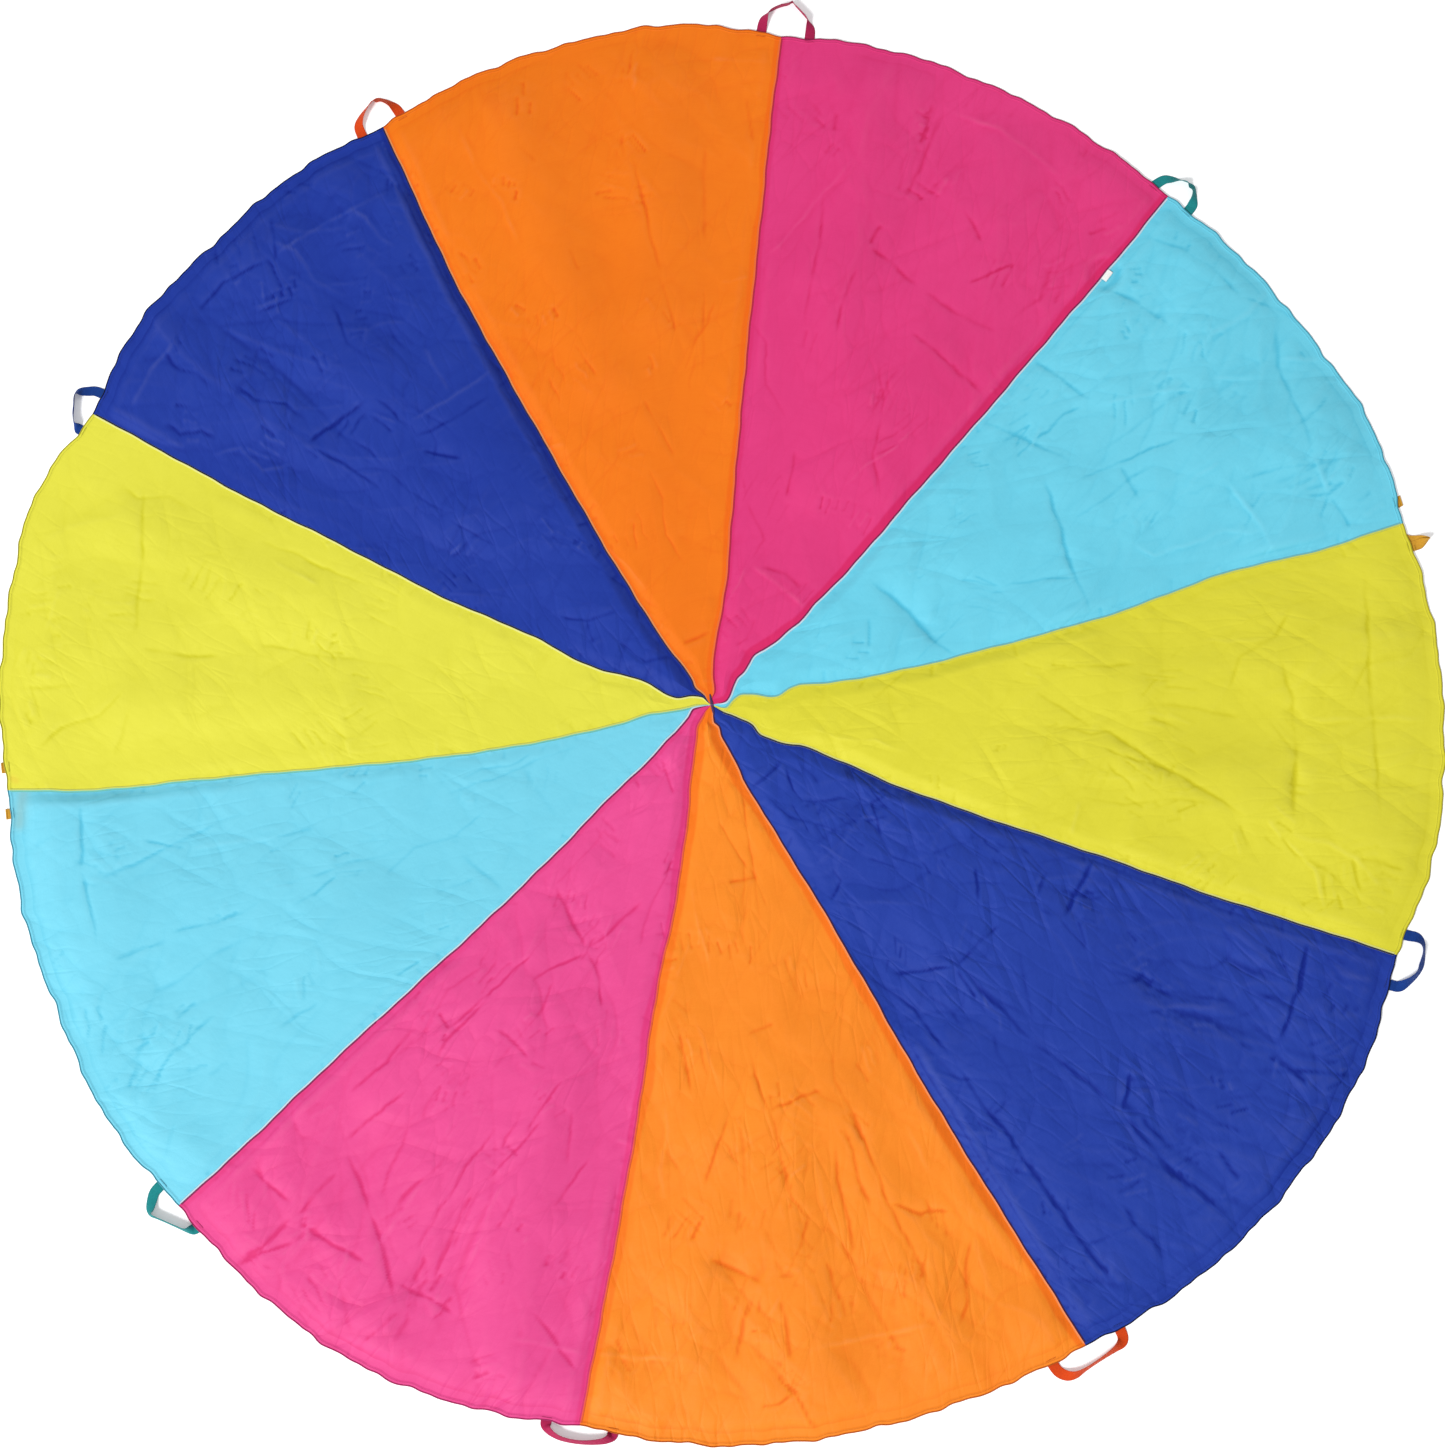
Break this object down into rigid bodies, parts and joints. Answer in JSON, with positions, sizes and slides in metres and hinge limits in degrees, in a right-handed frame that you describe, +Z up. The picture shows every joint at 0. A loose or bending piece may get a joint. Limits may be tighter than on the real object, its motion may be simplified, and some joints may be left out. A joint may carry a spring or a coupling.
{
  "type": "play parachute",
  "caption": "Round play parachute lying spread on the floor: coloured cloth gores sewn edge to edge, hemmed rim, webbing loop handles at the seams.",
  "frame": {"origin": "on the floor under the stitched centre of the spread canopy", "axes": "+Z up out of the floor, +Y towards the far side of the canopy as it is pictured, +X to the right"},
  "size_m": [3.0115, 3.0673, 0.022],
  "materials": {
    "pink": "thin woven taffeta, slight sheen",
    "light_blue": "thin woven taffeta, slight sheen",
    "yellow": "thin woven taffeta, slight sheen",
    "royal_blue": "thin woven taffeta, slight sheen",
    "orange": "thin woven taffeta, slight sheen",
    "teal_webbing": "ribbed webbing",
    "blue_webbing": "ribbed webbing",
    "orange_webbing": "ribbed webbing",
    "magenta_webbing": "ribbed webbing",
    "amber_webbing": "ribbed webbing",
    "pink_thread": "stitched thread",
    "dark_thread": "stitched thread",
    "label": "woven label, blank"
  },
  "bodies": {
    "near_half": {"centre_stitch": "pink_thread", "gore_03_yellow_near": "yellow", "gore_04_royal_blue": "royal_blue", "gore_05_orange": "orange", "gore_06_pink": "pink", "gore_07_light_blue": "light_blue", "gore_08_yellow_near": "yellow", "handle_04_left_end": "blue_webbing", "handle_04_right_end": "blue_webbing", "handle_05_left_end": "orange_webbing", "handle_05_right_end": "orange_webbing", "handle_06_left_end": "magenta_webbing", "handle_06_right_end": "magenta_webbing", "handle_07_left_end": "teal_webbing", "handle_07_right_end": "teal_webbing", "handle_08_left_end": "amber_webbing", "handle_08_right_end": "amber_webbing", "rim_binding_near": "dark_thread", "seam_04": "royal_blue", "seam_05": "orange", "seam_06": "pink", "seam_07": "light_blue", "seam_08": "yellow"},
    "far_half": {"gore_01_pink": "pink", "gore_02_light_blue": "light_blue", "gore_03_yellow_far": "yellow", "gore_08_yellow_far": "yellow", "gore_09_royal_blue": "royal_blue", "gore_10_orange": "orange", "handle_01_left_end": "magenta_webbing", "handle_01_right_end": "magenta_webbing", "handle_02_left_end": "teal_webbing", "handle_02_right_end": "teal_webbing", "handle_03_left_end": "amber_webbing", "handle_03_right_end": "amber_webbing", "handle_09_left_end": "blue_webbing", "handle_09_right_end": "blue_webbing", "handle_10_left_end": "orange_webbing", "handle_10_right_end": "orange_webbing", "rim_binding_far": "dark_thread", "seam_01": "pink", "seam_02": "light_blue", "seam_03": "yellow", "seam_09": "royal_blue", "seam_10": "orange"},
    "handle_01": {"handle_01_loop": "magenta_webbing"},
    "handle_02": {"handle_02_loop": "teal_webbing"},
    "handle_03": {"handle_03_loop": "amber_webbing"},
    "handle_04": {"handle_04_loop": "blue_webbing"},
    "handle_05": {"handle_05_loop": "orange_webbing"},
    "handle_06": {"handle_06_loop": "magenta_webbing"},
    "handle_07": {"handle_07_loop": "teal_webbing"},
    "handle_08": {"handle_08_loop": "amber_webbing"},
    "handle_09": {"handle_09_loop": "blue_webbing"},
    "handle_10": {"handle_10_loop": "orange_webbing"},
    "care_label": {"care_label": "label"}
  },
  "joints": [
    {"name": "canopy_fold", "type": "hinge", "parent": "near_half", "child": "far_half", "pos_m": [0, 0, 0.03], "axis": [1, 0, 0], "range_deg": [0, 179.5]},
    {"name": "handle_01_swing", "type": "hinge", "parent": "far_half", "child": "handle_01", "pos_m": [0.16082, 1.49692, 0.0021], "axis": [-0.9904, 0.138, 0], "range_deg": [-135, 145]},
    {"name": "handle_02_swing", "type": "hinge", "parent": "far_half", "child": "handle_02", "pos_m": [0.99312, 1.10673, 0.0021], "axis": [-0.7508, 0.6605, 0], "range_deg": [-135, 145]},
    {"name": "handle_03_swing", "type": "hinge", "parent": "far_half", "child": "handle_03", "pos_m": [1.4568, 0.37733, 0.0021], "axis": [-0.2419, 0.9703, 0], "range_deg": [-125, 0]},
    {"name": "handle_04_swing", "type": "hinge", "parent": "near_half", "child": "handle_04", "pos_m": [1.39783, -0.53662, 0.0021], "axis": [0.3417, 0.9398, 0], "range_deg": [-130, 145]},
    {"name": "handle_05_swing", "type": "hinge", "parent": "near_half", "child": "handle_05", "pos_m": [0.74597, -1.30297, 0.0021], "axis": [0.8916, 0.4527, 0], "range_deg": [-135, 145]},
    {"name": "handle_06_swing", "type": "hinge", "parent": "near_half", "child": "handle_06", "pos_m": [-0.26316, -1.46321, 0.0021], "axis": [0.9878, -0.1555, 0], "range_deg": [-130, 145]},
    {"name": "handle_07_swing", "type": "hinge", "parent": "near_half", "child": "handle_07", "pos_m": [-1.08627, -1.03217, 0.0021], "axis": [0.6854, -0.7282, 0], "range_deg": [-135, 145]},
    {"name": "handle_08_swing", "type": "hinge", "parent": "near_half", "child": "handle_08", "pos_m": [-1.48294, -0.17441, 0.0021], "axis": [0.1483, -0.9889, 0], "range_deg": [-275, 0]},
    {"name": "handle_09_swing", "type": "hinge", "parent": "far_half", "child": "handle_09", "pos_m": [-1.34277, 0.65272, 0.0021], "axis": [-0.4715, -0.8819, 0], "range_deg": [-110, 145]},
    {"name": "handle_10_swing", "type": "hinge", "parent": "far_half", "child": "handle_10", "pos_m": [-0.72805, 1.29958, 0.0021], "axis": [-0.8701, -0.4928, 0], "range_deg": [-135, 145]},
    {"name": "label_flip", "type": "hinge", "parent": "far_half", "child": "care_label", "pos_m": [0.83941, 0.93208, 0.00265], "axis": [-0.6384, -0.7697, 0], "range_deg": [0, 150]}
  ]
}
